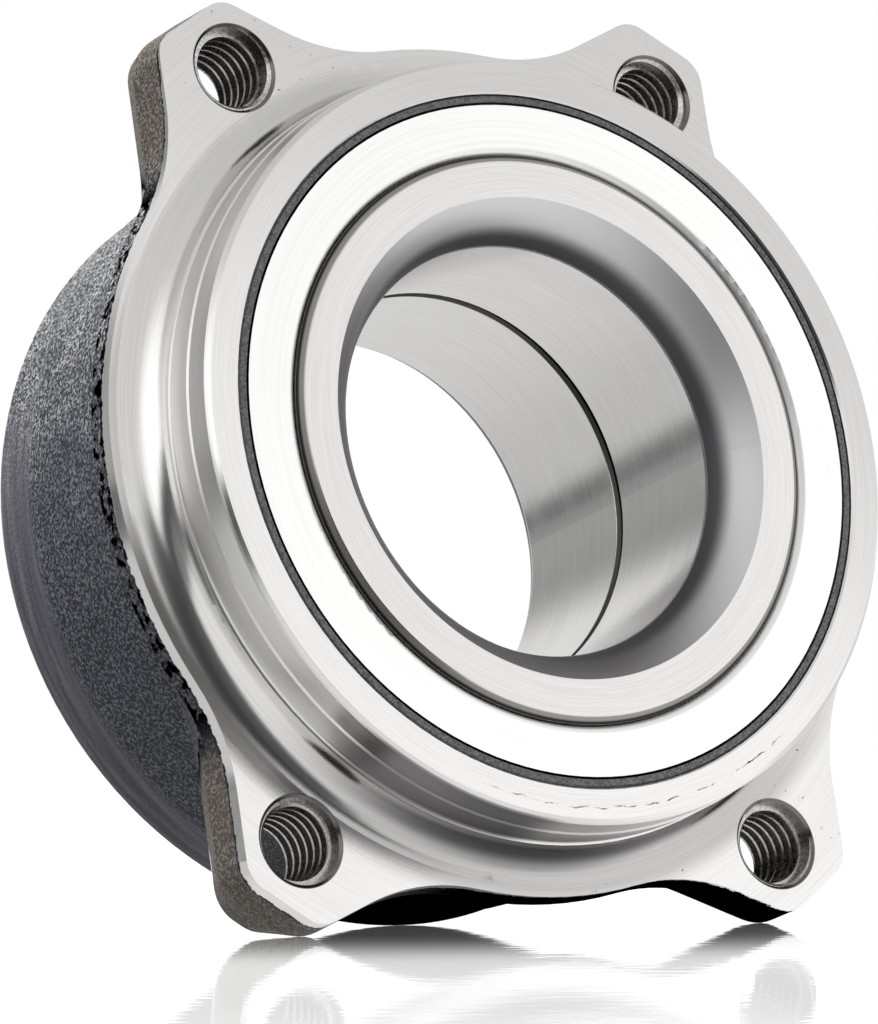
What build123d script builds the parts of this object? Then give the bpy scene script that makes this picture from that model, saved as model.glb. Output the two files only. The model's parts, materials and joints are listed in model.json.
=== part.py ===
from build123d import *
import os
from math import atan2, cos, degrees, hypot, radians, sin, sqrt, tan

# Flanged double-row wheel hub bearing, in millimetres.
# The bearing axis is Y. The origin lies on it, in the plane of the flange's mounting face,
# which faces -Y, the inboard side. +Z is up, between the two ears that stand closer together.
# Both halves of the bearing mirror about its middle plane, so most pieces are drawn once,
# at a distance from that plane, and placed on each side.

# Balls and raceways
bore_radius = 24.0
inner_wall = 6.0              # from the bore to the bottom of the inner raceway
ball_radius = 6.0
ball_count = 16               # in each row
row_offset = 8.8              # from the middle plane to a row of balls
contact_angle = 35.0
conformity = 1.04             # raceway radius over ball radius
ball_clearance = 0.08         # at the two contact points

# Axial layout
seal_room = 1.5               # between a cage and the seal case behind it
inner_overhang = 0.2          # inner rings stand proud of the outer ring at each end
pilot_length = 12.3           # from the outer ring's front face to the flange face

# Inner rings
inner_land_drop = 2.8         # slinger seat below the ball centres
inner_low_shoulder = 0.7      # shoulder at the middle plane above the raceway bottom
inner_edge_radial = 0.93
inner_edge_axial = 0.6
mouth_rise = 4.15             # the rounded bore mouths widen by this much
mouth_start_angle = 20.0      # between the mouth's arc and the bore, where they meet
inboard_mouth_depth = 5.75
outboard_mouth_depth = 4.7
split_chamfer = 0.7

# Clip that holds the two inner rings together
clip_half_width = 3.2
clip_thickness = 0.5
clip_lip_width = 0.8
clip_lip_depth = 0.6
clip_opening = 8.0            # degrees
clip_clearance = 0.08
clip_groove_room = 0.1

# Seals
seal_height = 7.3             # from the slinger seat to the seal bore
seal_recess = 0.2             # below the outer ring's faces
slinger_thickness = 0.8
slinger_length = 6.2
slinger_bend = 1.0
slinger_edge_gap = 0.3        # between the slinger's rim and the seal case
case_wall = 1.0
case_edge = 0.25
case_depth = 6.0
case_web = 0.8
case_web_height = 3.9
seal_step = 0.3               # stop behind the seal case
press_gap = 0.02
lip_base = 1.1                # rubber on the case's web
lip_clearance = 0.08
lip_tip = 0.3
lip_root = 1.0
lip_spacing = 0.6
lip_throat = 1.6              # rubber between the sleeve and the lips' roots
face_lip_set = 1.5            # face lip's root from the case wall
face_lip_lean = 0.8           # it leans outwards by this much
dust_lip_rise = 2.0
main_lip_drop = 0.6

# Ball cages
cage_back = 7.2               # past the ball centres, towards the seal
cage_front = 2.4              # past the ball centres, towards the middle plane
cage_inside = 1.7             # below the ball centres
cage_outside = 2.7            # above the ball centres
pocket_clearance = 0.15

# Outer ring
outer_rib = 2.3               # middle rib above the ball centres
seal_bore_edge = 0.2
pilot_wall = 4.4              # from the seal bore to the pilot
pilot_land = 3.35             # length of the ground pilot
pilot_start = 4.05            # from the front face to the pilot
pilot_step = 0.25             # lead-in and relief groove below the pilot
lead_taper = 0.1              # the lead-in widens by this much towards the pilot
pilot_edge_radial = 0.6
pilot_edge_axial = 0.65
root_shoulder = 0.15          # foot of the flange's root fillet above the pilot
root_fillet = 4.0
waist_flat = 0.95             # mounting face between root fillet and waist

# Forged body behind the flange
body_wall = 4.5               # above the balls, next to the flange
ridge_drop = 0.3
ridge_setback = 9.9           # from the rear face to the ridge
tail_length = 7.8
tail_drop = 0.95
tail_taper = 0.05
tail_corner = 1.7

# Forged flange, its two pairs of ears and its holes
flange_thickness = 12.0
hole_outset = 4.0             # bolt circle outside the waist
hole_radius = 5.0             # M10 thread, at its major diameter
hole_edge = 0.3
top_hole_angle = 31.7         # from the vertical, to each side
top_flat_angle = 31.0
top_side_wall = 3.5           # from the hole to the outer flank
top_flat_start = 0.5          # end flat starts this far inside the hole's centre
top_slope = 24.6              # of the inner flank
bottom_hole_angle = 35.9
bottom_flat_angle = 34.5
bottom_side_wall = 3.3
bottom_flat_start = 0.1
bottom_slope = 21.9
ear_end_wall = 2.4            # from the hole to the flat at the ear's end
ear_root = 24.0
ear_straight = 6.0
ear_growth = 0.3              # the sides widen this much along their straight part
flank_draft = 25.0
end_draft = 7.0               # of the flat at the ear's end
ear_back_round = 1.2
face_corners = 0.38           # share of the end flat that its two corners round off, at the face
back_corners = 0.85           # and at the back
waist_straight = 4.0
waist_run = 6.0               # length over which the waist narrows to the body
waist_sink = 0.5              # its back edge ends this far inside the body
forging_turn = 1.35           # the forging sits this many degrees off the drilled pattern

# Places that follow from the sizes above
front_y = -pilot_length
outer_half = row_offset + cage_back + seal_room + case_depth + seal_recess
middle_y = front_y + outer_half
rear_y = middle_y + outer_half
inner_half = outer_half + inner_overhang
pitch_radius = bore_radius + inner_wall + ball_radius
raceway_radius = ball_radius * conformity
raceway_shift = raceway_radius - ball_radius - ball_clearance
inner_land_radius = pitch_radius - inner_land_drop
inner_low_radius = pitch_radius - ball_radius + inner_low_shoulder
seal_bore_radius = inner_land_radius + seal_height
seal_face = outer_half - seal_recess
pilot_radius = seal_bore_radius + pilot_wall
root_radius = pilot_radius + root_shoulder
waist_radius = root_radius + root_fillet + waist_flat
body_radius = pitch_radius + ball_radius + body_wall
bolt_circle_radius = waist_radius + hole_outset
top_ears = (top_hole_angle, top_flat_angle, top_side_wall, top_flat_start, top_slope)
bottom_ears = (bottom_hole_angle, bottom_flat_angle, bottom_side_wall, bottom_flat_start, bottom_slope)


def turned(profile):
    """Solid of a half section, drawn as radius and distance along the axis."""
    return revolve(profile, Axis.Y)


def section(points):
    """Half section with straight sides."""
    return make_face(Polyline(*points, close=True))


def on_side(solid, side):
    """Place a solid drawn outboard of the middle plane; side is 1 outboard, -1 inboard."""
    if side < 0:
        solid = mirror(solid, about=Plane.XZ)
    return Pos(0, middle_y, 0) * solid


def ball_places():
    """One place for each ball of a row, outboard of the middle plane."""
    start = Pos(0, row_offset, pitch_radius)
    return [Rot(0, 360 * (index + 0.5) / ball_count, 0) * start for index in range(ball_count)]


def ball():
    """Ball whose poles stand on the axis it rolls about, square to its line of contact."""
    return Rot(contact_angle - 90, 0, 0) * Sphere(ball_radius)


def inner_ring(mouth_depth):
    """Half of the split inner ring: shouldered raceway, slinger seat and rounded bore mouth."""
    groove_depth = clip_lip_depth + clip_groove_room
    groove_start = clip_half_width - clip_lip_width - clip_groove_room
    groove_end = clip_half_width + clip_groove_room
    half_sweep = atan2(mouth_rise, mouth_depth) - radians(mouth_start_angle)
    mouth_radius = hypot(mouth_rise, mouth_depth) / (2 * sin(half_sweep))
    mouth_start = (bore_radius, inner_half - mouth_depth)
    mouth_end = (bore_radius + mouth_rise, inner_half)
    walls = Polyline(
        mouth_end,
        (inner_land_radius - inner_edge_radial, inner_half),
        (inner_land_radius, inner_half - inner_edge_axial),
        (inner_land_radius, row_offset),
        (inner_low_radius, row_offset),
        (inner_low_radius, groove_end),
        (inner_low_radius - groove_depth, groove_end),
        (inner_low_radius - groove_depth, groove_start),
        (inner_low_radius, groove_start),
        (inner_low_radius, 0),
        (bore_radius + split_chamfer, 0),
        (bore_radius, split_chamfer),
        mouth_start,
    )
    mouth = RadiusArc(mouth_start, mouth_end, mouth_radius)
    raceway = Pos(
        pitch_radius + raceway_shift * cos(radians(contact_angle)),
        row_offset - raceway_shift * sin(radians(contact_angle)),
    ) * Circle(raceway_radius)
    return turned(make_face([walls, mouth]) - raceway)


def inner_ring_clip():
    """Open spring band whose lips hook both inner rings."""
    inside = inner_low_radius + clip_clearance
    outside = inside + clip_thickness
    hook = inside - clip_lip_depth
    lip_start = clip_half_width - clip_lip_width
    band = section([
        (outside, -clip_half_width),
        (outside, clip_half_width),
        (hook, clip_half_width),
        (hook, lip_start),
        (inside, lip_start),
        (inside, -lip_start),
        (hook, -lip_start),
        (hook, -clip_half_width),
    ])
    ring = revolve(band, Axis.Y, 360 - clip_opening)
    return Pos(0, middle_y, 0) * Rot(0, clip_opening, 0) * ring


def ball_cage():
    """Snap cage: a ring behind the balls, with round pockets open towards the middle plane."""
    back = row_offset + cage_back
    front = row_offset - cage_front
    blank = turned(section([
        (pitch_radius - cage_inside, front),
        (pitch_radius + cage_outside, front),
        (pitch_radius + cage_outside, back),
        (pitch_radius - cage_inside, back),
    ]))
    pocket = Sphere(ball_radius + pocket_clearance)
    return blank - [place * pocket for place in ball_places()]


def slinger():
    """Bright pressed ring on the inner ring; its flange covers the seal."""
    seat = inner_land_radius + press_gap
    rim = seal_bore_radius - case_wall - slinger_edge_gap
    outline = section([
        (seat, seal_face - slinger_length),
        (seat + slinger_thickness, seal_face - slinger_length),
        (seat + slinger_thickness, seal_face - slinger_thickness),
        (rim, seal_face - slinger_thickness),
        (rim, seal_face),
        (seat, seal_face),
    ])
    bend = outline.vertices().sort_by(Axis.Y)[-2:].sort_by(Axis.X)[0]
    return turned(fillet(bend, slinger_bend))


def seal_case():
    """Pressed steel case in the outer ring, with a web that carries the lips."""
    outside = seal_bore_radius - press_gap
    inside = seal_bore_radius - case_wall
    floor = seal_face - case_depth
    return turned(section([
        (outside - case_edge, seal_face),
        (outside, seal_face - case_edge),
        (outside, floor),
        (outside - case_web_height, floor),
        (outside - case_web_height, floor + case_web),
        (inside, floor + case_web),
        (inside, seal_face),
    ]))


def seal_lip():
    """Rubber ring on the case's web: two lips run on the slinger's sleeve, one on its flange."""
    base = seal_face - case_depth + case_web
    top = base + lip_base
    outside = seal_bore_radius - case_wall - press_gap
    sleeve = inner_land_radius + press_gap + slinger_thickness + lip_clearance
    flange = seal_face - slinger_thickness - lip_clearance
    face_root = outside - face_lip_set
    return turned(section([
        (outside, base),
        (outside, top),
        (face_root, top),
        (face_root + face_lip_lean, flange),
        (face_root + face_lip_lean - lip_tip, flange),
        (face_root - lip_root, top),
        (face_root - lip_root - lip_spacing, top),
        (sleeve, top + dust_lip_rise),
        (sleeve, top + dust_lip_rise - lip_tip),
        (sleeve + lip_throat, top - lip_tip),
        (sleeve, top - main_lip_drop),
        (sleeve, top - main_lip_drop - lip_tip),
        (sleeve + lip_throat, base),
    ]))


def outer_body():
    """Turned body of the outer ring: pilot, root fillet, forged drum, raceways and seal bores."""
    lead = pilot_radius - pilot_step
    pilot_y = front_y + pilot_start
    relief_y = pilot_y + pilot_land
    root_y = -root_fillet
    face_edge = lead - pilot_edge_radial
    bore_edge = seal_bore_radius + seal_bore_edge
    seat_depth = seal_recess + case_depth
    land_radius = seal_bore_radius - seal_step
    rib_radius = pitch_radius + outer_rib
    tail_radius = body_radius - tail_drop
    spigot = Polyline(
        (bore_edge, front_y),
        (face_edge, front_y),
        (lead - lead_taper / 2, front_y + pilot_edge_axial),
        (lead + lead_taper / 2, pilot_y - pilot_step),
        (pilot_radius, pilot_y),
        (pilot_radius, relief_y),
    )
    relief = ThreePointArc((pilot_radius, relief_y), (lead, (relief_y + root_y) / 2), (root_radius, root_y))
    fillet_end = (root_radius + root_fillet, 0)
    root = RadiusArc((root_radius, root_y), fillet_end, root_fillet)
    drum = Polyline(
        fillet_end,
        (root_radius + root_fillet, waist_straight / 2),
        (body_radius, waist_straight / 2 + root_fillet),
        (body_radius, waist_straight + waist_run),
        (body_radius - ridge_drop, rear_y - ridge_setback),
        (tail_radius + tail_taper, rear_y - tail_length),
        (tail_radius, rear_y - tail_corner),
    )
    corner_start = (tail_radius, rear_y - tail_corner)
    corner_end = (tail_radius - tail_corner, rear_y)
    corner = RadiusArc(corner_start, corner_end, -tail_corner)
    inside = Polyline(
        (tail_radius - tail_corner, rear_y),
        (bore_edge, rear_y),
        (seal_bore_radius, rear_y - seal_bore_edge),
        (seal_bore_radius, rear_y - seat_depth),
        (land_radius, rear_y - seat_depth),
        (land_radius, middle_y + row_offset),
        (rib_radius, middle_y + row_offset),
        (rib_radius, middle_y - row_offset),
        (land_radius, middle_y - row_offset),
        (land_radius, front_y + seat_depth),
        (seal_bore_radius, front_y + seat_depth),
        (seal_bore_radius, front_y + seal_bore_edge),
        (bore_edge, front_y),
    )
    profile = make_face([spigot, relief, root, drum, corner, inside])
    for side in (-1, 1):
        centre_radius = pitch_radius - raceway_shift * cos(radians(contact_angle))
        centre_offset = row_offset + raceway_shift * sin(radians(contact_angle))
        profile -= Pos(centre_radius, middle_y + side * centre_offset) * Circle(raceway_radius)
    return turned(profile)


def polar(radius, angle):
    """Point at a radius, at an angle clockwise from the vertical."""
    return radius * sin(radians(angle)), radius * cos(radians(angle))


def crossing(first_normal, first_distance, second_normal, second_distance):
    """Point where two straight sides meet, each given by its normal's angle and its distance."""
    first_x, first_z = polar(1, first_normal)
    second_x, second_z = polar(1, second_normal)
    spread = first_x * second_z - first_z * second_x
    x = (first_distance * second_z - second_distance * first_z) / spread
    z = (first_x * second_distance - second_x * first_distance) / spread
    return x, z


def root_blend(normal, distance, turn, waist):
    """Ends of the concave blend at the foot of a flank: on the waist, then on the flank.

    turn is 1 where the way to the ear's end is clockwise, and -1 where it is not.
    """
    run = sqrt((waist + ear_root) ** 2 - (distance + ear_root) ** 2)
    swing = degrees(atan2(run, distance + ear_root))
    foot_x, foot_z = polar(distance, normal)
    run_x, run_z = polar(run, normal + turn * 90)
    return polar(waist, normal + turn * swing), (foot_x + run_x, foot_z + run_z)


def waist_at(depth):
    """Radius of the waist at one depth: upright, then hollowed down to the body."""
    reach = min(max((waist_straight + waist_run - depth) / waist_run, 0), 1)
    if reach == 0:
        return body_radius - waist_sink
    return body_radius + (waist_radius - body_radius) * (1 - sqrt(1 - reach ** 2))


def inset_at(depth, draft):
    """How far a side of the ears stands inside its outline at one depth."""
    straight = min(depth, ear_straight)
    drafted = max(depth - ear_straight, 0)
    rounded = max(depth - flange_thickness + ear_back_round, 0)
    return drafted * tan(radians(draft)) + rounded - straight / ear_straight * ear_growth


def ear(pair, depth, waist):
    """Right-hand ear of a pair at the top: its corners and blend ends, clockwise, and corner radius."""
    hole_angle, flat_angle, side_wall, flat_start, slope = pair
    flank_inset = inset_at(depth, flank_draft)
    end_inset = inset_at(depth, end_draft)
    reach = bolt_circle_radius + hole_radius + ear_end_wall
    hole_x, _ = polar(bolt_circle_radius, hole_angle)
    side = hole_x + hole_radius + side_wall
    inner_corner = crossing(flat_angle, reach, 90, hole_x - flat_start)
    inner_x, inner_z = polar(1, -slope)
    inner = inner_corner[0] * inner_x + inner_corner[1] * inner_z
    waist_in, flank_in = root_blend(-slope, inner - flank_inset, 1, waist)
    waist_out, flank_out = root_blend(90, side - flank_inset, -1, waist)
    corner_in = crossing(-slope, inner - flank_inset, flat_angle, reach - end_inset)
    corner_out = crossing(flat_angle, reach - end_inset, 90, side - flank_inset)
    flat = hypot(corner_out[0] - corner_in[0], corner_out[1] - corner_in[1])
    corners = face_corners + (back_corners - face_corners) * depth / flange_thickness
    turns = (flat_angle + slope, 90 - flat_angle)
    corner_radius = corners * flat / sum(tan(radians(turn / 2)) for turn in turns)
    return [waist_in, flank_in, corner_in, corner_out, flank_out, waist_out], corner_radius


def flange_section(depth):
    """Outline of the forged flange at one depth: the waist and four ears, blended together."""
    waist = waist_at(depth)
    top_right, top_corner = ear(top_ears, depth, waist)
    bottom, bottom_corner = ear(bottom_ears, depth, waist)
    bottom_right = [(x, -z) for x, z in reversed(bottom)]
    bottom_left = [(-x, z) for x, z in reversed(bottom_right)]
    top_left = [(-x, z) for x, z in reversed(top_right)]
    ears = [top_right, bottom_right, bottom_left, top_left]
    corners = [top_corner, bottom_corner, bottom_corner, top_corner]
    sides = []
    for points, following, corner in zip(ears, ears[1:] + ears[:1], corners):
        sides.append(RadiusArc(points[0], points[1], -ear_root))
        sides.append(FilletPolyline(*points[1:5], radius=corner))
        sides.append(RadiusArc(points[4], points[5], -ear_root))
        sides.append(RadiusArc(points[5], following[0], waist))
    return Plane.XZ.offset(-depth) * Rot(0, 0, forging_turn) * make_face(sides)


def flange():
    """Forged flange: straight sides, then drafted ones with rounded back edges."""
    hollow = (waist_straight + ear_straight) / 2
    depths = [
        0,
        waist_straight,
        hollow,
        ear_straight,
        ear_straight + waist_straight / 2,
        flange_thickness - ear_back_round,
        flange_thickness,
    ]
    return loft([flange_section(depth) for depth in depths], ruled=True)


def bolt_holes():
    """Four threaded holes, two closer together at the top and two wider apart at the bottom."""
    hole = section([
        (0, 0),
        (hole_radius + hole_edge, 0),
        (hole_radius, hole_edge),
        (hole_radius, flange_thickness - hole_edge),
        (hole_radius + hole_edge, flange_thickness),
        (0, flange_thickness),
    ])
    hole = turned(hole)
    holes = []
    for angle in (top_hole_angle, -top_hole_angle, 180 - bottom_hole_angle, 180 + bottom_hole_angle):
        x = bolt_circle_radius * sin(radians(angle))
        z = bolt_circle_radius * cos(radians(angle))
        holes.append(Pos(x, 0, z) * hole)
    return holes


def outer_ring():
    """Outer ring and flange, forged in one piece."""
    core = Pos(0, middle_y, 0) * Rot(90, 0, 0) * Cylinder(body_radius - body_wall / 2, 2 * outer_half)
    return outer_body() + (flange() - core) - bolt_holes()


os.makedirs("parts", exist_ok=True)


def save(solid, name):
    export_step(solid, f"parts/{name}.step")


save(outer_ring(), "outer_ring_flange")
save(inner_ring_clip(), "inner_ring_clip")
for side, name, mouth in ((-1, "inboard", inboard_mouth_depth), (1, "outboard", outboard_mouth_depth)):
    save(on_side(inner_ring(mouth), side), f"inner_ring_{name}")
    save(on_side(ball_cage(), side), f"ball_cage_{name}")
    save(on_side(slinger(), side), f"seal_slinger_{name}")
    save(on_side(seal_case(), side), f"seal_case_{name}")
    save(on_side(seal_lip(), side), f"seal_lip_{name}")
    for number, place in enumerate(ball_places(), 1):
        save(on_side(place * ball(), side), f"ball_{name}_{number:02d}")
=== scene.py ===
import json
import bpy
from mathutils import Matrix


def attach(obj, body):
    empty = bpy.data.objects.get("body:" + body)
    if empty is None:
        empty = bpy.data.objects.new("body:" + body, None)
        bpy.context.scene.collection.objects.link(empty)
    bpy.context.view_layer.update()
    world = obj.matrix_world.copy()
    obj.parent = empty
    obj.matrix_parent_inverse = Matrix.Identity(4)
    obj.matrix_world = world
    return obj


bl_info = {
    "name": "Wheel Hub Bearing",
    "version": (1, 0, 0),
    "blender": (4, 5, 0),
    "location": "View3D > Sidebar > Hub Bearing",
    "description": "Finishes a flanged wheel hub bearing and lights it on a glossy white floor",
    "category": "Object",
}

from math import radians
from types import SimpleNamespace

import bpy
from mathutils import Matrix, Vector

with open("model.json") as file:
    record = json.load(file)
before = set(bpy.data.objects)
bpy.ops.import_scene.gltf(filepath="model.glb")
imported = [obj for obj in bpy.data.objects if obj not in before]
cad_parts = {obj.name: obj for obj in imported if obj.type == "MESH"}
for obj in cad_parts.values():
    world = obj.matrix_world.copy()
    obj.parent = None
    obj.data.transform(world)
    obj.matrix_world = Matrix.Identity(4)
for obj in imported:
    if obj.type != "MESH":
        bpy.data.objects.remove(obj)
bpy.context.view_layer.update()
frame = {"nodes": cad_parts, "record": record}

MM = 0.001
mounts = {mount["name"]: mount for mount in frame["record"]["mounts"]}
holes = [mount for name, mount in mounts.items() if name.startswith("bolt_hole_")]
hole_radius = holes[0]["dims"]["r_mm"]
hole_length = holes[0]["dims"]["length_mm"]

# Where the finishes change: radii about the bearing's axis, in millimetres,
bore_radius = mounts["hub_bore"]["dims"]["r_mm"]
mouth_radius = 28.15
face_radius = 32.3
ring_radius = 33.2
slinger_rim_radius = 34.4
scuff_radius = 42.75
turned_radius = 43.8
pilot_radius = mounts["knuckle_pilot"]["dims"]["r_mm"]
waist_radius = 50.0

# and depths behind the flange's face, in millimetres
fillet_depth = -4.0
cut_depth = 1.1
low_left_cut_depth = 2.4
split_depth = 11.4
ridge_depth = 27.0

# Settings of a Map Range node that changes softly
soft_step = {"interpolation_type": "SMOOTHSTEP"}


class FinishSettings(bpy.types.PropertyGroup):
    """Colours of the bearing's surfaces."""

    machined: bpy.props.StringProperty(
        name="Machined Steel", description="Turned and milled faces of the outer ring",
        default="#EDECEB")
    forged: bpy.props.StringProperty(
        name="Forged Skin", description="Dark scale left by the forge", default="#2A2B32")
    grain: bpy.props.StringProperty(
        name="Forged Grain", description="Bare metal on the tops of the forged grain",
        default="#EEF0F2")
    ground: bpy.props.StringProperty(
        name="Ground Steel", description="Faces and bore of the inner rings", default="#E9E8E7")
    polished: bpy.props.StringProperty(
        name="Polished Steel", description="Bright slinger rings", default="#FBFBFA")


class ThreadSettings(bpy.types.PropertyGroup):
    """Sizes of the metric thread in the ears."""

    pitch: bpy.props.FloatProperty(
        name="Pitch", description="From one crest to the next", default=1.5 * MM, unit="LENGTH",
        precision=5)
    minor_radius: bpy.props.FloatProperty(
        name="Minor Radius", description="From the hole's axis to the crests", default=4.19 * MM,
        unit="LENGTH", precision=5)
    entry_radius: bpy.props.FloatProperty(
        name="Entry Radius", description="Countersink at both faces",
        default=(hole_radius + 0.3) * MM, unit="LENGTH", precision=5)
    steps: bpy.props.IntProperty(
        name="Steps", description="Facets in each turn", default=48, min=12, max=96)


class StageSettings(bpy.types.PropertyGroup):
    """Floor and light of the studio."""

    floor_drop: bpy.props.FloatProperty(
        name="Floor Drop", description="From the bearing's origin down to the floor",
        default=52.28 * MM, unit="LENGTH", precision=5)
    mirror: bpy.props.FloatProperty(
        name="Floor Gloss", description="Share of the floor's light that it mirrors", default=0.55,
        subtype="FACTOR", min=0, max=1)
    lamp_power: bpy.props.FloatProperty(
        name="Softbox Power", description="Power of the lamp above the bearing", default=14.0,
        unit="POWER")


def colour(code):
    """Linear colour of an sRGB hex value."""
    channels = [int(code[i:i + 2], 16) / 255 for i in (1, 3, 5)]
    return [c / 12.92 if c <= 0.04045 else ((c + 0.055) / 1.055) ** 2.4 for c in channels] + [1.0]


def node(tree, kind, inputs=(), **settings):
    """Add a shader node; an input takes a value, a socket or a node's first live output."""
    made = tree.nodes.new("ShaderNode" + kind)
    for name, value in settings.items():
        setattr(made, name, value)
    pairs = inputs.items() if isinstance(inputs, dict) else enumerate(inputs)
    for name, value in pairs:
        if isinstance(value, bpy.types.Node):
            value = next(output for output in value.outputs if output.enabled)
        if isinstance(value, bpy.types.NodeSocket):
            tree.links.new(value, made.inputs[name])
        elif value is not None:
            made.inputs[name].default_value = value
    return made


def new_material(name):
    """A material with an empty tree, and the tree."""
    material = bpy.data.materials.new(name)
    material.use_nodes = True
    material.node_tree.nodes.clear()
    return material, material.node_tree


def paint(name, material):
    """Give a CAD piece its finish."""
    slots = frame["nodes"][name].data.materials
    slots.clear()
    slots.append(material)


def around_axis(tree):
    """Where a point stands about the bearing axis, in millimetres."""
    place = node(tree, "TexCoord")
    point = node(tree, "VectorMath", {
        0: place.outputs["Object"], "Scale": 1 / MM,
    }, operation="SCALE")
    across = node(tree, "VectorMath", [point, (1.0, 0.0, 1.0)], operation="MULTIPLY")
    return SimpleNamespace(
        point=point,
        across=across,
        radius=node(tree, "VectorMath", [across], operation="LENGTH"),
        direction=node(tree, "VectorMath", [across], operation="NORMALIZE"),
        depth=node(tree, "SeparateXYZ", [point]).outputs["Y"],
    )


def turning_marks(tree, place, width, length, detail=3.0):
    """Lines left by a tool or wheel that ran round the axis; width and length in millimetres."""
    usual_radius = 40.0
    lie = node(tree, "SeparateXYZ", [place.direction])
    reach = usual_radius / length
    spot = node(tree, "CombineXYZ", [
        node(tree, "Math", [lie.outputs["X"], reach], operation="MULTIPLY"),
        node(tree, "Math", [lie.outputs["Z"], reach], operation="MULTIPLY"),
        node(tree, "Math", [place.radius, 1.0 / width], operation="MULTIPLY"),
    ])
    rise = node(tree, "Math", [place.depth, 1.0 / width], operation="MULTIPLY")
    return node(tree, "TexNoise", {
        "Vector": spot, "W": rise, "Scale": 1.0, "Detail": detail,
    }, noise_dimensions="4D")


def forged_steel(finish):
    """Carbon steel forging, turned in front: dark rough scale behind, bright tool-marked metal."""
    material, tree = new_material("forged carbon steel, turned and milled")
    place = around_axis(tree)

    # Shot-blasted scale: a dense grain whose rims sparkle with bare metal, painted brighter on top
    # as painted light from above.
    # The pits are drawn a little wider than the shot leaves them, so that they show
    dent_width = 2.5
    pit_width = 0.3846
    cloud_width = 8.333
    coarse = node(tree, "TexNoise", {
        "Vector": place.point, "Scale": 1 / dent_width, "Detail": 3.0, "Roughness": 0.6,
    })
    pits = node(tree, "TexNoise", {
        "Vector": place.point, "Scale": 1 / pit_width, "Detail": 4.0, "Roughness": 0.7,
    })
    height = node(tree, "Math", [coarse, 0.6, pits], operation="MULTIPLY_ADD")
    rims = node(tree, "MapRange", [pits, 0.47, 0.6], **soft_step)
    rise = node(tree, "VectorMath", [place.direction, (0.0, 0.0, 1.0)], operation="DOT_PRODUCT")
    clouds = node(tree, "TexNoise", {
        "Vector": place.point, "Scale": 1 / cloud_width, "Detail": 3.0,
    })
    # Random clouds plus painted light: the more the surface faces up, the brighter the grain is
    # painted
    clouds_and_top_light = node(tree, "Math", [clouds, 1.2, rise], operation="MULTIPLY_ADD")
    grain = node(tree, "Mix", {
        0: node(tree, "MapRange", [clouds_and_top_light, 0.5, 1.35], **soft_step),
        6: colour("#868995"),
        7: colour(finish.grain),
    }, data_type="RGBA")
    skin = node(tree, "Mix", {0: rims, 6: colour(finish.forged), 7: grain}, data_type="RGBA")

    # The lower left of the tail behind the ridge was skimmed: smoother, with faint streaks
    streaks = turning_marks(tree, place, 0.8, 12.0)
    left_side = node(tree, "VectorMath", [
        place.direction, (-0.9, 0.0, -0.44),
    ], operation="DOT_PRODUCT")
    tail = node(tree, "Math", [
        node(tree, "MapRange", [
            node(tree, "Math", [place.depth, coarse], operation="ADD"),
            ridge_depth,
            ridge_depth + 1.2,
        ], **soft_step),
        node(tree, "MapRange", [left_side, 0.62, 0.85, 0.0, 0.85], **soft_step),
    ], operation="MULTIPLY")
    tail_colour = node(tree, "Mix", {
        0: node(tree, "MapRange", [streaks, 0.3, 0.7], **soft_step),
        6: colour("#505058"),
        7: colour("#7C7B84"),
    }, data_type="RGBA")
    skin = node(tree, "Mix", {0: tail, 6: skin, 7: tail_colour}, data_type="RGBA")
    rough_height = node(tree, "Math", [
        height, node(tree, "Math", [tail, -0.75, 1.0], operation="MULTIPLY_ADD"),
    ], operation="MULTIPLY")

    # The ears are browner. The waist's edge is black, and the underside is painted black as shade
    tear_width = 1.1111
    tear_depth = 3.0
    ears = node(tree, "MapRange", [
        place.radius, waist_radius + 0.3, waist_radius + 2.5,
    ], **soft_step)
    rust = node(tree, "Mix", {
        0: rims, 6: colour("#5C554E"), 7: colour("#9C958D"),
    }, data_type="RGBA")
    skin = node(tree, "Mix", {0: ears, 6: skin, 7: rust}, data_type="RGBA")
    torn = node(tree, "TexNoise", {"Vector": place.point, "Scale": 1 / tear_width, "Detail": 3.0})
    rim = node(tree, "Math", [torn, tear_depth, place.radius], operation="MULTIPLY_ADD")
    waist = node(tree, "Math", [
        node(tree, "MapRange", [rim, waist_radius + 1.35, waist_radius + 1.7], **soft_step), ears,
    ], operation="SUBTRACT", use_clamp=True)
    # Painted shade: surfaces that face down are painted black
    below = node(tree, "VectorMath", [place.direction, (0.35, 0.0, -0.94)], operation="DOT_PRODUCT")
    black_waist_and_underside_shade = node(tree, "Math", [
        waist, node(tree, "MapRange", [below, 0.6, 0.85], **soft_step),
    ], operation="MAXIMUM")
    black = node(tree, "Mix", {
        0: rims, 6: colour("#010101"), 7: colour("#070707"),
    }, data_type="RGBA")
    skin = node(tree, "Mix", {0: black_waist_and_underside_shade, 6: skin, 7: black}, data_type="RGBA")

    # A black torn fringe follows the cutter's ragged border, deeper at the lower left
    lean = node(tree, "VectorMath", [place.direction, (-0.95, 0.0, -0.3)], operation="DOT_PRODUCT")
    ragged = node(tree, "TexNoise", {
        "Vector": place.point, "Scale": 1 / tear_width, "Detail": 4.0, "Roughness": 0.75,
    })
    past_cut = node(tree, "Math", [
        node(tree, "Math", [ragged, 1.6, place.depth], operation="MULTIPLY_ADD"),
        node(tree, "MapRange", [lean, 0.3, 0.75, cut_depth, low_left_cut_depth], **soft_step),
    ], operation="SUBTRACT")
    fringe = node(tree, "MapRange", [
        node(tree, "Math", [torn, -0.9, past_cut], operation="MULTIPLY_ADD"), -0.1, -0.25,
    ], **soft_step)
    skin = node(tree, "Mix", {0: fringe, 6: skin, 7: colour("#0D0D0E")}, data_type="RGBA")

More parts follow.
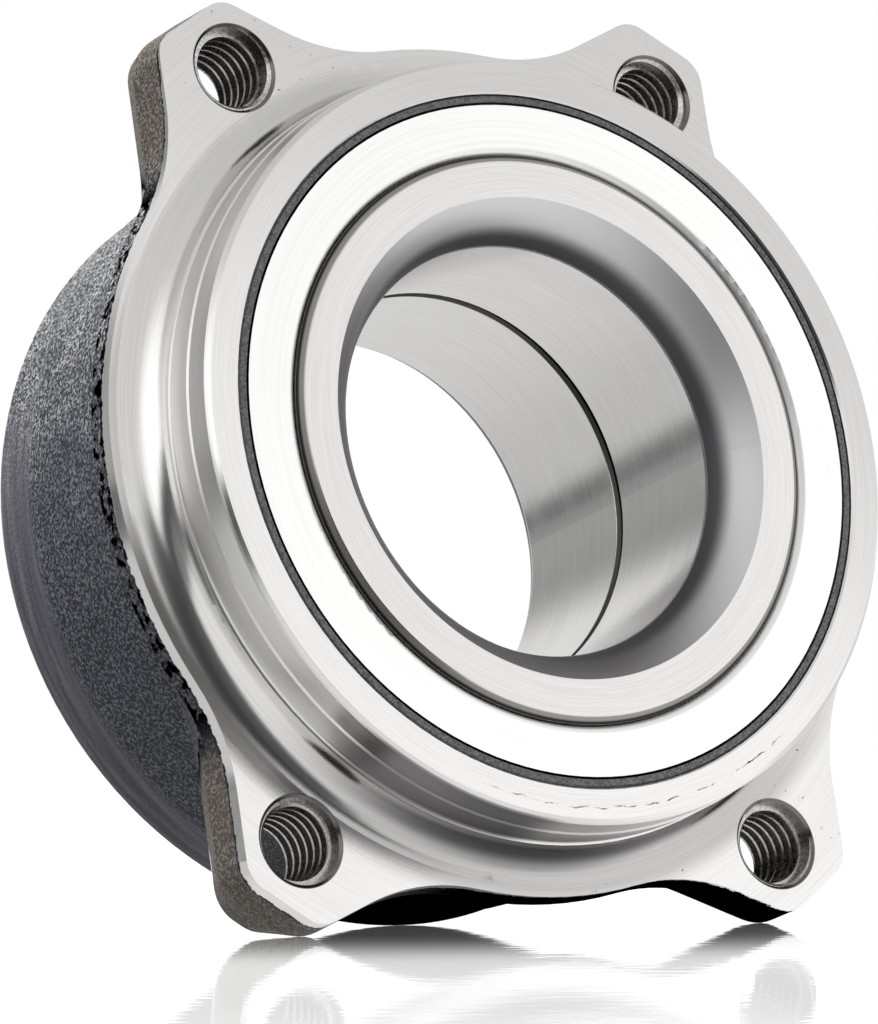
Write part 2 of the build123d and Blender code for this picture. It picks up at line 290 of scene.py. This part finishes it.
    # Machined metal: all in front of that border, the inside, and the holes
    front = node(tree, "MapRange", [past_cut, 0.05, -0.05], **soft_step)
    inside = node(tree, "MapRange", [
        place.radius, turned_radius + 0.1, turned_radius - 0.1,
    ], **soft_step)
    nearest = None
    for mount in holes:
        axis = Vector(mount["pos_m"]) / MM
        away = node(tree, "VectorMath", [place.across, (axis.x, 0.0, axis.z)], operation="DISTANCE")
        if nearest is not None:
            away = node(tree, "Math", [nearest, away], operation="MINIMUM")
        nearest = away
    bored = node(tree, "MapRange", [nearest, hole_radius + 0.75, hole_radius + 0.6], **soft_step)
    machined = node(tree, "Math", [front, inside], operation="MAXIMUM")
    machined = node(tree, "Math", [machined, bored], operation="MAXIMUM")

    # The machined metal is painted lighter below than on top, as a painted reflection of the room,
    # with fine darker lines from the tool
    marks = turning_marks(tree, place, 0.1, 9.0)
    soft_marks = turning_marks(tree, place, 1.2, 60.0, 2.0)
    downward = node(tree, "VectorMath", [
        place.direction, (-0.5, 0.0, -0.85),
    ], operation="DOT_PRODUCT")
    bright = node(tree, "Mix", {
        0: node(tree, "MapRange", [downward, -0.9, 0.6], **soft_step),
        6: colour("#CFCECD"),
        7: colour(finish.machined),
    }, data_type="RGBA")
    bright = node(tree, "Mix", {
        0: node(tree, "MapRange", [marks, 0.3, 0.6, 0.15, 0.0], **soft_step),
        6: bright,
        7: colour("#9A9998"),
    }, data_type="RGBA")

    # A ragged, broken scuff runs round the bottom of the front face
    wander_length = 2.857
    wander_width = 1.1
    dash_length = 2.0
    wander = node(tree, "TexNoise", {
        "Vector": place.point, "Scale": 1 / wander_length, "Detail": 4.0, "Roughness": 0.7,
    })
    wandering = node(tree, "Math", [wander, wander_width, place.radius], operation="MULTIPLY_ADD")
    off_line = node(tree, "Math", [
        node(tree, "Math", [wandering, scuff_radius + wander_width / 2], operation="SUBTRACT"),
    ], operation="ABSOLUTE")
    breaks = node(tree, "TexNoise", {
        "Vector": place.point, "Scale": 1 / dash_length, "Detail": 2.0,
    })
    scuff = node(tree, "Math", [
        node(tree, "MapRange", [off_line, 0.11, 0.03], **soft_step),
        node(tree, "MapRange", [breaks, 0.45, 0.6], **soft_step),
    ], operation="MULTIPLY")
    toward_scuff = node(tree, "VectorMath", [
        place.direction, (0.15, 0.0, -0.99),
    ], operation="DOT_PRODUCT")
    scuff = node(tree, "Math", [
        scuff, node(tree, "MapRange", [toward_scuff, 0.86, 0.93], **soft_step),
    ], operation="MULTIPLY")
    bright = node(tree, "Mix", {0: scuff, 6: bright, 7: colour("#4A4744")}, data_type="RGBA")

    # Painted shade darkens the root fillet along the underside and the pilot at the lower left
    root = node(tree, "Math", [
        node(tree, "MapRange", [
            place.radius, pilot_radius + 0.05, pilot_radius + 0.4,
        ], **soft_step),
        node(tree, "MapRange", [
            place.radius, pilot_radius + 1.9, pilot_radius + 0.8, 0.5, 1.0,
        ], **soft_step),
    ], operation="MULTIPLY")
    root = node(tree, "Math", [
        root,
        node(tree, "MapRange", [place.radius, waist_radius + 2.0, waist_radius - 1.0], **soft_step),
    ], operation="MULTIPLY")
    root = node(tree, "Math", [
        root, node(tree, "MapRange", [toward_scuff, 0.5, 0.9, 0.0, 0.95], **soft_step),
    ], operation="MULTIPLY")
    # Painted shade on the root fillet along the underside
    bright = node(tree, "Mix", {0: root, 6: bright, 7: colour("#6A6868")}, data_type="RGBA")
    pilot = node(tree, "Math", [
        node(tree, "MapRange", [place.radius, pilot_radius - 0.6, pilot_radius - 0.4], **soft_step),
        node(tree, "MapRange", [place.depth, fillet_depth + 0.4, fillet_depth - 0.2], **soft_step),
    ], operation="MULTIPLY")
    toward_pilot_shade = node(tree, "VectorMath", [
        place.direction, (-0.4, 0.0, -0.917),
    ], operation="DOT_PRODUCT")
    # Painted shade on the pilot at the lower left
    oil = node(tree, "Math", [
        pilot, node(tree, "MapRange", [toward_pilot_shade, 0.945, 0.98], **soft_step),
    ], operation="MULTIPLY")
    bright = node(tree, "Mix", {0: oil, 6: bright, 7: colour("#8E8C8C")}, data_type="RGBA")

    # The walls between the threads and the countersinks are painted greyer, as painted shade in the
    # hole
    in_hole = node(tree, "MapRange", [nearest, hole_radius + 0.42, hole_radius + 0.32], **soft_step)
    bright = node(tree, "Mix", {0: in_hole, 6: bright, 7: colour("#6E6C6A")}, data_type="RGBA")
    surface = node(tree, "Mix", {0: machined, 6: skin, 7: bright}, data_type="RGBA")

    # Machined metal is smooth, duller on the pilot; the scale is rough, with no gleam where black
    scale = node(tree, "Math", [1.0, machined], operation="SUBTRACT")
    bare = node(tree, "Math", [black_waist_and_underside_shade, -0.55, 0.55], operation="MULTIPLY_ADD")
    metal = node(tree, "Math", [machined, bare], operation="MAXIMUM")
    gleam = node(tree, "Math", [black_waist_and_underside_shade, -0.5, 0.5], operation="MULTIPLY_ADD")
    smooth = node(tree, "Math", [
        pilot, 0.16, node(tree, "MapRange", [soft_marks, 0.3, 0.7, 0.14, 0.2], **soft_step),
    ], operation="MULTIPLY_ADD")
    smooth = node(tree, "Math", [smooth, machined], operation="MULTIPLY")
    roughness = node(tree, "Math", [scale, 0.55, smooth], operation="MULTIPLY_ADD")

    scale_bump = node(tree, "Bump", {
        "Height": node(tree, "Math", [rough_height, scale], operation="MULTIPLY"),
        "Distance": 0.6 * MM,
        "Strength": 1.0,
    })
    tool_bump = node(tree, "Bump", {
        "Height": node(tree, "Math", [marks, machined], operation="MULTIPLY"),
        "Distance": 0.006 * MM,
        "Strength": 1.0,
        "Normal": scale_bump,
    })
    shader = node(tree, "BsdfPrincipled", {
        "Base Color": surface,
        "Metallic": metal,
        "Roughness": roughness,
        "Specular IOR Level": gleam,
        "Normal": tool_bump,
    })
    node(tree, "OutputMaterial", [shader])
    return material


def ground_steel(finish):
    """Hardened bearing steel, ground: fine lines round the axis and a satin gleam."""
    material, tree = new_material("ground bearing steel")
    place = around_axis(tree)
    marks = turning_marks(tree, place, 0.1, 12.0)
    bands = turning_marks(tree, place, 2.5, 45.0, 1.0)
    shade = node(tree, "Mix", {
        0: node(tree, "MapRange", [marks, 0.3, 0.7], **soft_step),
        6: colour("#DDDCDB"),
        7: colour(finish.ground),
    }, data_type="RGBA")

    # The rounded mouths are only turned: grey, darker by the bore, and painted darker at the lower
    # left as painted shade
    mouth = node(tree, "Math", [
        node(tree, "MapRange", [place.radius, bore_radius + 0.03, bore_radius + 0.15], **soft_step),
        node(tree, "MapRange", [
            place.radius, mouth_radius + 0.05, mouth_radius - 0.05,
        ], **soft_step),
    ], operation="MULTIPLY")
    # Painted shade: the mouth is painted darker towards the lower left
    low_left = node(tree, "VectorMath", [
        place.direction, (-0.7, 0.0, -0.7),
    ], operation="DOT_PRODUCT")
    mouth_colour = node(tree, "Mix", {
        0: node(tree, "MapRange", [low_left, -0.3, 0.6], **soft_step),
        6: colour("#DDDCDC"),
        7: colour("#8C8A8A"),
    }, data_type="RGBA")
    mouth_colour = node(tree, "Mix", {
        0: node(tree, "MapRange", [
            place.radius, bore_radius + 1.9, bore_radius + 0.6,
        ], **soft_step),
        6: mouth_colour,
        7: colour("#6E6D70"),
    }, data_type="RGBA")
    shade = node(tree, "Mix", {0: mouth, 6: shade, 7: mouth_colour}, data_type="RGBA")

    # The outer edge is tumbled: grey by the face, and painted dark by the slinger as shade in the
    # gap
    slinger_gap_shade = node(tree, "Math", [
        node(tree, "MapRange", [place.radius, ring_radius - 0.45, ring_radius - 0.2], **soft_step),
        node(tree, "MapRange", [place.radius, ring_radius - 0.01, ring_radius - 0.04], **soft_step),
    ], operation="MULTIPLY")
    edge_colour = node(tree, "Mix", {
        0: slinger_gap_shade, 6: colour("#9C9A97"), 7: colour("#34312F"),
    }, data_type="RGBA")
    edge = node(tree, "MapRange", [place.radius, face_radius, face_radius + 0.2], **soft_step)
    shade = node(tree, "Mix", {0: edge, 6: shade, 7: edge_colour}, data_type="RGBA")

    # The split between the two rings is painted as a black line of shade in the gap, with a narrow
    # chamfer on each side painted dull dark grey for the dark room that it mirrors
    half_gap = node(tree, "Math", [
        node(tree, "Math", [place.depth, split_depth], operation="SUBTRACT"),
    ], operation="ABSOLUTE")
    split = node(tree, "Math", [
        node(tree, "MapRange", [half_gap, 1.5, 1.2], **soft_step),
        node(tree, "MapRange", [place.radius, bore_radius + 0.01, bore_radius + 0.05], **soft_step),
    ], operation="MULTIPLY")
    split_shade_colour = node(tree, "Mix", {
        0: node(tree, "MapRange", [
            place.radius, bore_radius + 0.35, bore_radius + 0.45,
        ], **soft_step),
        6: colour("#62615F"),
        7: colour("#060606"),
    }, data_type="RGBA")
    shade = node(tree, "Mix", {0: split, 6: shade, 7: split_shade_colour}, data_type="RGBA")
    dulled = node(tree, "Math", [mouth, edge], operation="MAXIMUM")
    roughness = node(tree, "Mix", {
        0: dulled, 2: node(tree, "MapRange", [bands, 0.3, 0.7, 0.2, 0.24], **soft_step), 3: 0.48,
    })
    bump = node(tree, "Bump", {"Height": marks, "Distance": 0.005 * MM, "Strength": 1.0})
    shader = node(tree, "BsdfPrincipled", {
        "Base Color": shade, "Metallic": 1.0, "Roughness": roughness, "Normal": bump,
    })
    node(tree, "OutputMaterial", [shader])
    return material


def polished_steel(finish):
    """Stainless strip, deep drawn and polished: near white, with faint lines round the axis."""
    material, tree = new_material("polished stainless strip")
    place = around_axis(tree)
    marks = turning_marks(tree, place, 0.3, 30.0)
    rolled_rim = node(tree, "MapRange", [
        place.radius, slinger_rim_radius, slinger_rim_radius - 0.5, 0.0, 0.3,
    ], **soft_step)
    shade = node(tree, "Mix", {
        0: node(tree, "MapRange", [marks, 0.25, 0.6], **soft_step),
        6: colour("#F2F2F1"),
        7: colour(finish.polished),
    }, data_type="RGBA")
    shader = node(tree, "BsdfPrincipled", {
        "Base Color": shade,
        "Metallic": 1.0,
        "Roughness": node(tree, "Math", [
            node(tree, "MapRange", [marks, 0.3, 0.7, 0.12, 0.18], **soft_step), rolled_rim,
        ], operation="ADD"),
    })
    node(tree, "OutputMaterial", [shader])
    return material


def pressed_sheet():
    """Cold-rolled sheet, pressed and phosphated: matt dark grey with a fine grain."""
    material, tree = new_material("phosphated sheet steel")
    place = around_axis(tree)
    crystal_width = 0.2857
    grain = node(tree, "TexNoise", {
        "Vector": place.point, "Scale": 1 / crystal_width, "Detail": 3.0, "Roughness": 0.7,
    })
    shade = node(tree, "Mix", {
        0: node(tree, "MapRange", [grain, 0.3, 0.7], **soft_step),
        6: colour("#4E4F50"),
        7: colour("#868786"),
    }, data_type="RGBA")
    bump = node(tree, "Bump", {"Height": grain, "Distance": 0.03 * MM, "Strength": 1.0})
    shader = node(tree, "BsdfPrincipled", {
        "Base Color": shade, "Metallic": 0.8, "Roughness": 0.5, "Normal": bump,
    })
    node(tree, "OutputMaterial", [shader])
    return material


def nitrile_rubber():
    """Nitrile rubber, moulded: near black with a soft low gloss."""
    material, tree = new_material("moulded nitrile rubber")
    place = around_axis(tree)
    bloom_width = 1.25
    bloom = node(tree, "TexNoise", {"Vector": place.point, "Scale": 1 / bloom_width, "Detail": 4.0})
    shade = node(tree, "Mix", {
        0: node(tree, "MapRange", [bloom, 0.35, 0.7], **soft_step),
        6: colour("#141415"),
        7: colour("#232324"),
    }, data_type="RGBA")
    shader = node(tree, "BsdfPrincipled", {"Base Color": shade, "Roughness": 0.55, "IOR": 1.52})
    node(tree, "OutputMaterial", [shader])
    return material


def ball_steel():
    """Chrome steel balls, lapped: a mirror with hardly a trace of wear."""
    material, tree = new_material("lapped chrome steel")
    place = around_axis(tree)
    haze_width = 2.0
    haze = node(tree, "TexNoise", {"Vector": place.point, "Scale": 1 / haze_width, "Detail": 2.0})
    shader = node(tree, "BsdfPrincipled", {
        "Base Color": colour("#DDDEE0"),
        "Metallic": 1.0,
        "Roughness": node(tree, "MapRange", [haze, 0.3, 0.7, 0.04, 0.09], **soft_step),
    })
    node(tree, "OutputMaterial", [shader])
    return material


def cage_polyamide():
    """Glass-filled polyamide, injection moulded: dark, satin, with faint flow clouds."""
    material, tree = new_material("glass-filled polyamide")
    place = around_axis(tree)
    flow_width = 4.0
    flow = node(tree, "TexNoise", {
        "Vector": place.point, "Scale": 1 / flow_width, "Detail": 5.0, "Distortion": 1.5,
    })
    shade = node(tree, "Mix", {
        0: node(tree, "MapRange", [flow, 0.35, 0.65], **soft_step),
        6: colour("#26241F"),
        7: colour("#37342D"),
    }, data_type="RGBA")
    shader = node(tree, "BsdfPrincipled", {"Base Color": shade, "Roughness": 0.42, "IOR": 1.53})
    node(tree, "OutputMaterial", [shader])
    return material


def spring_steel():
    """Blued spring strip, rolled: grey-blue with a satin drawn grain."""
    material, tree = new_material("rolled spring strip")
    place = around_axis(tree)
    grain = turning_marks(tree, place, 0.2, 15.0)
    shade = node(tree, "Mix", {
        0: node(tree, "MapRange", [grain, 0.3, 0.7], **soft_step),
        6: colour("#7A7D84"),
        7: colour("#9DA0A6"),
    }, data_type="RGBA")
    shader = node(tree, "BsdfPrincipled", {"Base Color": shade, "Metallic": 1.0, "Roughness": 0.35})
    node(tree, "OutputMaterial", [shader])
    return material


def tapped_steel():
    """Thread as the tap left it: bright torn crests with a film of cutting oil."""
    material, tree = new_material("tapped steel")
    place = around_axis(tree)
    tear_width = 0.4
    tears = node(tree, "TexNoise", {
        "Vector": place.point, "Scale": 1 / tear_width, "Detail": 4.0, "Roughness": 0.7,
    })
    shade = node(tree, "Mix", {
        0: node(tree, "MapRange", [tears, 0.35, 0.65], **soft_step),
        6: colour("#AFACA9"),
        7: colour("#E0DEDB"),
    }, data_type="RGBA")
    bump = node(tree, "Bump", {"Height": tears, "Distance": 0.03 * MM, "Strength": 1.0})
    shader = node(tree, "BsdfPrincipled", {
        "Base Color": shade,
        "Metallic": 1.0,
        "Roughness": node(tree, "MapRange", [tears, 0.3, 0.7, 0.22, 0.36], **soft_step),
        "Normal": bump,
    })
    node(tree, "OutputMaterial", [shader])
    return material


def select_only(piece):
    """Make one object the only selected one, and the active one."""
    bpy.ops.object.select_all(action="DESELECT")
    piece.select_set(True)
    bpy.context.view_layer.objects.active = piece


def select_vertices(piece, chosen):
    """Select the vertices whose place passes a test, in edit mode."""
    bpy.ops.object.mode_set(mode="OBJECT")
    for vertex in piece.data.vertices:
        vertex.select = chosen(vertex.co)
    bpy.ops.object.mode_set(mode="EDIT")


def thread_ridge(thread):
    """One helical ridge about the Y axis, from one face of the flange to the other."""
    countersinks = 0.6
    sunk = 0.03
    pitch = thread.pitch

    # A metric profile, sunk a little into the hole's wall: its crest is a quarter of the pitch wide
    root = (hole_radius + sunk) * MM
    height = root - thread.minor_radius
    foot = pitch * 7 / 8
    crest = pitch / 4
    turns = round(hole_length * MM / pitch) + 3
    first = -1.5 * pitch

    bpy.ops.object.select_all(action="DESELECT")
    bpy.ops.mesh.primitive_plane_add(size=foot, location=(root - height / 2, first, 0.0))
    ridge = bpy.context.object
    bpy.ops.object.transform_apply(location=True, rotation=True, scale=True)
    bpy.ops.object.mode_set(mode="EDIT")
    bpy.ops.mesh.select_mode(type="VERT")
    bpy.ops.mesh.select_all(action="SELECT")
    middle = root - height / 2
    bpy.ops.transform.resize(value=(height / foot, 1.0, 1.0), center_override=(middle, first, 0.0))
    select_vertices(ridge, lambda place: place.x < middle)
    top = thread.minor_radius
    bpy.ops.transform.resize(value=(1.0, crest / foot, 1.0), center_override=(top, first, 0.0))
    bpy.ops.object.mode_set(mode="OBJECT")

    screw = ridge.modifiers.new("helix", "SCREW")
    screw.axis = "Y"
    screw.screw_offset = pitch
    screw.iterations = turns
    screw.steps = screw.render_steps = thread.steps
    bpy.ops.object.modifier_apply(modifier=screw.name)
    bpy.ops.object.mode_set(mode="EDIT")
    bpy.ops.mesh.select_all(action="SELECT")
    bpy.ops.mesh.remove_doubles(threshold=0.001 * MM)
    bpy.ops.mesh.select_all(action="SELECT")
    bpy.ops.mesh.fill_holes(sides=4)
    bpy.ops.mesh.select_all(action="SELECT")
    bpy.ops.mesh.normals_make_consistent(inside=False)
    bpy.ops.object.mode_set(mode="OBJECT")

    # A countersink at each face trims the ridge to the drilled hole's own chamfer
    thickness = (hole_length + countersinks) * MM
    reach = 2 * thread.entry_radius
    for face, lean in ((0.0, -90.0), (thickness, 90.0)):
        outward = -1.0 if lean < 0 else 1.0
        centre = face - outward * (thread.entry_radius - reach / 2)
        bpy.ops.mesh.primitive_cone_add(
            vertices=2 * thread.steps, radius1=reach, radius2=0.0, depth=reach,
            location=(0.0, centre, 0.0), rotation=(radians(lean), 0.0, 0.0))
        sink = bpy.context.object
        select_only(ridge)
        cut = ridge.modifiers.new("countersink", "BOOLEAN")
        cut.object = sink
        cut.operation = "DIFFERENCE"
        cut.solver = "EXACT"
        bpy.ops.object.modifier_apply(modifier=cut.name)
        bpy.data.objects.remove(sink)
    select_only(ridge)
    bpy.ops.object.shade_smooth_by_angle(angle=radians(30.0))
    return ridge


class HUB_OT_outer_ring(bpy.types.Operator):
    """Give the forged and turned outer ring its finish"""

    bl_idname = "hub.outer_ring"
    bl_label = "Outer Ring"

    def execute(self, context):
        paint("outer_ring_flange", forged_steel(context.scene.hub_finish))
        return {"FINISHED"}


class HUB_OT_threads(bpy.types.Operator):
    """Model the metric thread in the four ears"""

    bl_idname = "hub.threads"
    bl_label = "Threads"

    def execute(self, context):
        tap_start = 70.0
        ridge = thread_ridge(context.scene.hub_thread)
        ridge.data.materials.append(tapped_steel())
        for count, mount in enumerate(holes):
            select_only(ridge)
            if count < len(holes) - 1:
                bpy.ops.object.duplicate()
            piece = context.object
            piece.name = piece.data.name = mount["name"].replace("bolt_hole", "thread")
            turn = Matrix.Rotation(radians(tap_start * count), 4, "Y")
            move = Matrix.Translation((mount["pos_m"][0], 0.0, mount["pos_m"][2]))
            piece.matrix_world = move @ turn
            bpy.ops.object.transform_apply(location=True, rotation=True, scale=True)
            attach(piece, "outer_ring")
        return {"FINISHED"}


class HUB_OT_inner_rings(bpy.types.Operator):
    """Give both inner rings their ground finish"""

    bl_idname = "hub.inner_rings"
    bl_label = "Inner Rings"

    def execute(self, context):
        ground = ground_steel(context.scene.hub_finish)
        for side in ("inboard", "outboard"):
            paint(f"inner_ring_{side}", ground)
        paint("inner_ring_clip", spring_steel())
        return {"FINISHED"}


class HUB_OT_seals(bpy.types.Operator):
    """Give the slingers, seal cases and lips their finishes"""

    bl_idname = "hub.seals"
    bl_label = "Seals"

    def execute(self, context):
        polished = polished_steel(context.scene.hub_finish)
        sheet = pressed_sheet()
        rubber = nitrile_rubber()
        for side in ("inboard", "outboard"):
            paint(f"seal_slinger_{side}", polished)
            paint(f"seal_case_{side}", sheet)
            paint(f"seal_lip_{side}", rubber)
        return {"FINISHED"}


class HUB_OT_rolling_parts(bpy.types.Operator):
    """Give the balls and their cages their finishes"""

    bl_idname = "hub.rolling_parts"
    bl_label = "Balls and Cages"

    def execute(self, context):
        lapped = ball_steel()
        moulded = cage_polyamide()
        for name in frame["nodes"]:
            if name.startswith("ball_cage_"):
                paint(name, moulded)
            elif name.startswith("ball_"):
                paint(name, lapped)
        return {"FINISHED"}


class HUB_OT_stage(bpy.types.Operator):
    """Set up the white floor, the soft light and the camera"""

    bl_idname = "hub.stage"
    bl_label = "Studio"

    # The floor's own up, front and left: it touches the drum's rear edge and the two lower ears
    up = Vector((-0.0229, -0.2398, 0.9705)).normalized()
    front = (Vector((0.0, -1.0, 0.0)) + up * up.y).normalized()
    left = front.cross(up)

    def execute(self, context):
        stage = context.scene.hub_stage
        self.lay_floor(stage)
        self.light(context.scene, stage)
        self.place_camera(context.scene)
        context.scene.view_settings.view_transform = "Standard"
        return {"FINISHED"}

    def lay_floor(self, stage):
        turn = self.up.to_track_quat("Z", "Y").to_euler()
        bpy.ops.object.select_all(action="DESELECT")
        middle = -stage.floor_drop * self.up
        bpy.ops.mesh.primitive_plane_add(size=12.0, location=middle, rotation=turn)
        floor = bpy.context.object
        floor.name = "studio_floor"
        material, tree = new_material("white acrylic sheet")
        place = node(tree, "TexCoord")
        ahead, aside = self.plan(tree, place.outputs["Object"])

        # For mirror rays the sheet glows as a painted reflection of the room: past its front and
        # left edges near the bearing it is painted dark, as a dark room
        past_front = node(tree, "Math", [aside, -0.45, ahead], operation="MULTIPLY_ADD")
        near_camera = node(tree, "Math", [ahead, 0.47, aside], operation="MULTIPLY_ADD")
        front_edge = node(tree, "Math", [
            node(tree, "MapRange", [past_front, 0.024, 0.065], **soft_step),
            node(tree, "MapRange", [near_camera, 0.035, 0.055], **soft_step),
        ], operation="MULTIPLY")
        past_edge = node(tree, "Math", [
            front_edge, node(tree, "MapRange", [aside, 0.18, 0.25, 0.0, 0.75], **soft_step),
        ], operation="MAXIMUM")
        in_front = node(tree, "MapRange", [aside, -0.02, 0.03, 1.1, 0.82], **soft_step)
        behind = node(tree, "MapRange", [aside, -0.02, 0.06, 0.78, 0.62], **soft_step)
        glow = node(tree, "Mix", {
            0: node(tree, "MapRange", [ahead, 0.0, 0.012], **soft_step), 2: behind, 3: in_front,
        })
        glow = node(tree, "Math", [
            glow, node(tree, "MapRange", [past_edge, 0.0, 1.0, 1.0, 0.08], **soft_step),
        ], operation="MULTIPLY")

        # Close to the bearing, which shades it, the sheet is darker
        away = node(tree, "VectorMath", [place.outputs["Object"]], operation="LENGTH")
        glow = node(tree, "Math", [
            glow, node(tree, "MapRange", [away, 0.01, 0.035, 0.25, 1.0], **soft_step),
        ], operation="MULTIPLY")
        glossy = node(tree, "LightPath").outputs["Is Glossy Ray"]
        glow = node(tree, "Math", [glow, glossy], operation="MULTIPLY")
        seen = self.seen_share(tree)
        lit = node(tree, "MapRange", [away, 0.04, 0.14, 0.6, 1.15], **soft_step)
        white = node(tree, "BsdfDiffuse", {"Color": node(tree, "Mix", {0: seen, 2: 0.015, 3: 0.2})})
        light = node(tree, "Emission", {
            "Color": colour("#FFFFFF"),
            "Strength": node(tree, "Mix", {0: seen, 2: glow, 3: lit}),
        })
        sheet = node(tree, "AddShader", [white, light])

        # A rippled gloss mirrors the bearing near its feet and fades out further off
        ripple_width = 5.5556
        ripple = node(tree, "TexNoise", {
            "Vector": place.outputs["Object"], "Scale": 1 / (ripple_width * MM), "Detail": 2.0,
        })
        bump = node(tree, "Bump", {"Height": ripple, "Distance": 0.02 * MM, "Strength": 1.0})
        gloss = node(tree, "BsdfGlossy", {
            "Color": colour("#FFFFFF"), "Roughness": 0.03, "Normal": bump,
        })
        mirror = node(tree, "MapRange", [away, 0.03, 0.12, 0.92, stage.mirror], **soft_step)
        mirror = node(tree, "Math", [
            mirror, node(tree, "MapRange", [away, 0.2, 0.6, 1.0, 0.0], **soft_step),
        ], operation="MULTIPLY")
        mirror = node(tree, "Math", [mirror, seen], operation="MULTIPLY")
        shader = node(tree, "MixShader", {0: mirror, 1: sheet, 2: gloss})
        node(tree, "OutputMaterial", [shader])
        floor.data.materials.append(material)

    def plan(self, tree, place):
        """How far a place on the floor lies in front of the bearing and to its left, in metres."""
        return [
            node(tree, "VectorMath", [place, tuple(way)], operation="DOT_PRODUCT")
            for way in (self.front, self.left)
        ]

    def seen_share(self, tree):
        """1 for what the camera sees, straight or through glass; 0 in mirrors and for lighting."""
        path = node(tree, "LightPath")
        return node(tree, "Math", [
            path.outputs["Is Camera Ray"], path.outputs["Is Transmission Ray"],
        ], operation="MAXIMUM")

    def light(self, scene, stage):
        world = bpy.data.worlds.new("white studio")
        world.use_nodes = True
        tree = world.node_tree
        tree.nodes.clear()
        place = node(tree, "TexCoord").outputs["Generated"]
        lift = node(tree, "VectorMath", [place, tuple(self.up)], operation="DOT_PRODUCT")
        ahead, aside = self.plan(tree, place)

        # White tent, brightest at the left and dimmer behind, above all behind at the left
        ceiling = node(tree, "MapRange", [lift, 0.36, 0.52, 0.9, 0.76], **soft_step)
        left_side = node(tree, "Mix", {
            0: node(tree, "MapRange", [aside, 0.5, 0.85], **soft_step), 2: ceiling, 3: 1.3,
        })
        right_side = node(tree, "MapRange", [aside, -0.3, -0.6, 0.0, 0.25], **soft_step)
        tent = node(tree, "Math", [left_side, right_side], operation="ADD")
        rear = node(tree, "Math", [
            node(tree, "MapRange", [aside, 0.35, 0.0, 0.38, 1.0], **soft_step),
            node(tree, "MapRange", [lift, 0.12, 0.3, 1.08, 0.88], **soft_step),
        ], operation="MULTIPLY")
        tent = node(tree, "Mix", {
            0: node(tree, "MapRange", [ahead, -0.4, -0.7], **soft_step), 2: tent, 3: rear,
        })

        # Under its hem, lowest at the far left, the room is dark in front and at the left
        hem = node(tree, "MapRange", [aside, 0.45, 0.8, 0.36, 0.17], **soft_step)
        above = node(tree, "MapRange", [
            node(tree, "Math", [lift, hem], operation="SUBTRACT"), -0.08, 0.06,
        ], **soft_step)
        to_right = node(tree, "MapRange", [
            node(tree, "Math", [ahead, 0.36, aside], operation="MULTIPLY_ADD"), 0.03, -0.1,
        ], **soft_step)
        behind = node(tree, "MapRange", [ahead, -0.5, -0.75], **soft_step)
        lit = node(tree, "Math", [above, to_right], operation="MAXIMUM")
        lit = node(tree, "Math", [lit, behind], operation="MAXIMUM")
        room = node(tree, "Math", [
            tent, node(tree, "MapRange", [lit, 0.0, 1.0, 0.05, 1.0], **soft_step),
        ], operation="MULTIPLY")
        strength = node(tree, "Mix", {0: self.seen_share(tree), 2: room, 3: 1.0})
        background = node(tree, "Background", {"Color": colour("#FFFFFF"), "Strength": strength})
        node(tree, "OutputWorld", [background])
        scene.world = world

        bpy.ops.object.light_add(type="AREA", location=(-0.35, 0.05, 0.75))
        softbox = bpy.context.object
        softbox.name = "softbox"
        softbox.data.shape = "RECTANGLE"
        softbox.data.size = 0.7
        softbox.data.size_y = 0.5
        softbox.data.energy = stage.lamp_power
        softbox.visible_glossy = False
        softbox.rotation_mode = "QUATERNION"
        softbox.rotation_quaternion = softbox.location.to_track_quat("Z", "Y")

    def place_camera(self, scene):
        """Look at the bearing from its front left, from a little below its axis."""
        bpy.ops.object.camera_add()
        camera = bpy.context.object
        camera.data.lens = 246.1
        camera.data.sensor_width = 36.0
        camera.data.clip_start = 0.05
        camera.data.clip_end = 30.0
        right = (0.8464, -0.5187, -0.1205)
        upward = (-0.0299, -0.2721, 0.9618)
        back = (-0.5317, -0.8105, -0.2458)
        stand = Matrix.Translation((-0.4275, -0.6388, -0.1993))
        camera.matrix_world = stand @ Matrix((right, upward, back)).transposed().to_4x4()
        scene.camera = camera


class HUB_PT_panel(bpy.types.Panel):
    """Steps that finish the wheel hub bearing"""

    bl_label = "Wheel Hub Bearing"
    bl_space_type = "VIEW_3D"
    bl_region_type = "UI"
    bl_category = "Hub Bearing"

    def draw(self, context):
        layout = self.layout
        for group in groups:
            settings = getattr(context.scene, group)
            for name in settings.__annotations__:
                layout.prop(settings, name)
        for operator in operators:
            layout.operator(operator.bl_idname)


groups = {"hub_finish": FinishSettings, "hub_thread": ThreadSettings, "hub_stage": StageSettings}
operators = [
    HUB_OT_outer_ring,
    HUB_OT_threads,
    HUB_OT_inner_rings,
    HUB_OT_seals,
    HUB_OT_rolling_parts,
    HUB_OT_stage,
]


def register():
    for kind in (*groups.values(), *operators, HUB_PT_panel):
        bpy.utils.register_class(kind)
    for name, kind in groups.items():
        setattr(bpy.types.Scene, name, bpy.props.PointerProperty(type=kind))


def unregister():
    for name in groups:
        delattr(bpy.types.Scene, name)
    for kind in (HUB_PT_panel, *reversed(operators), *groups.values()):
        bpy.utils.unregister_class(kind)


def main():
    register()
    bpy.ops.hub.outer_ring()
    bpy.ops.hub.threads()
    bpy.ops.hub.inner_rings()
    bpy.ops.hub.seals()
    bpy.ops.hub.rolling_parts()
    bpy.ops.hub.stage()


if __name__ == "__main__":
    main()
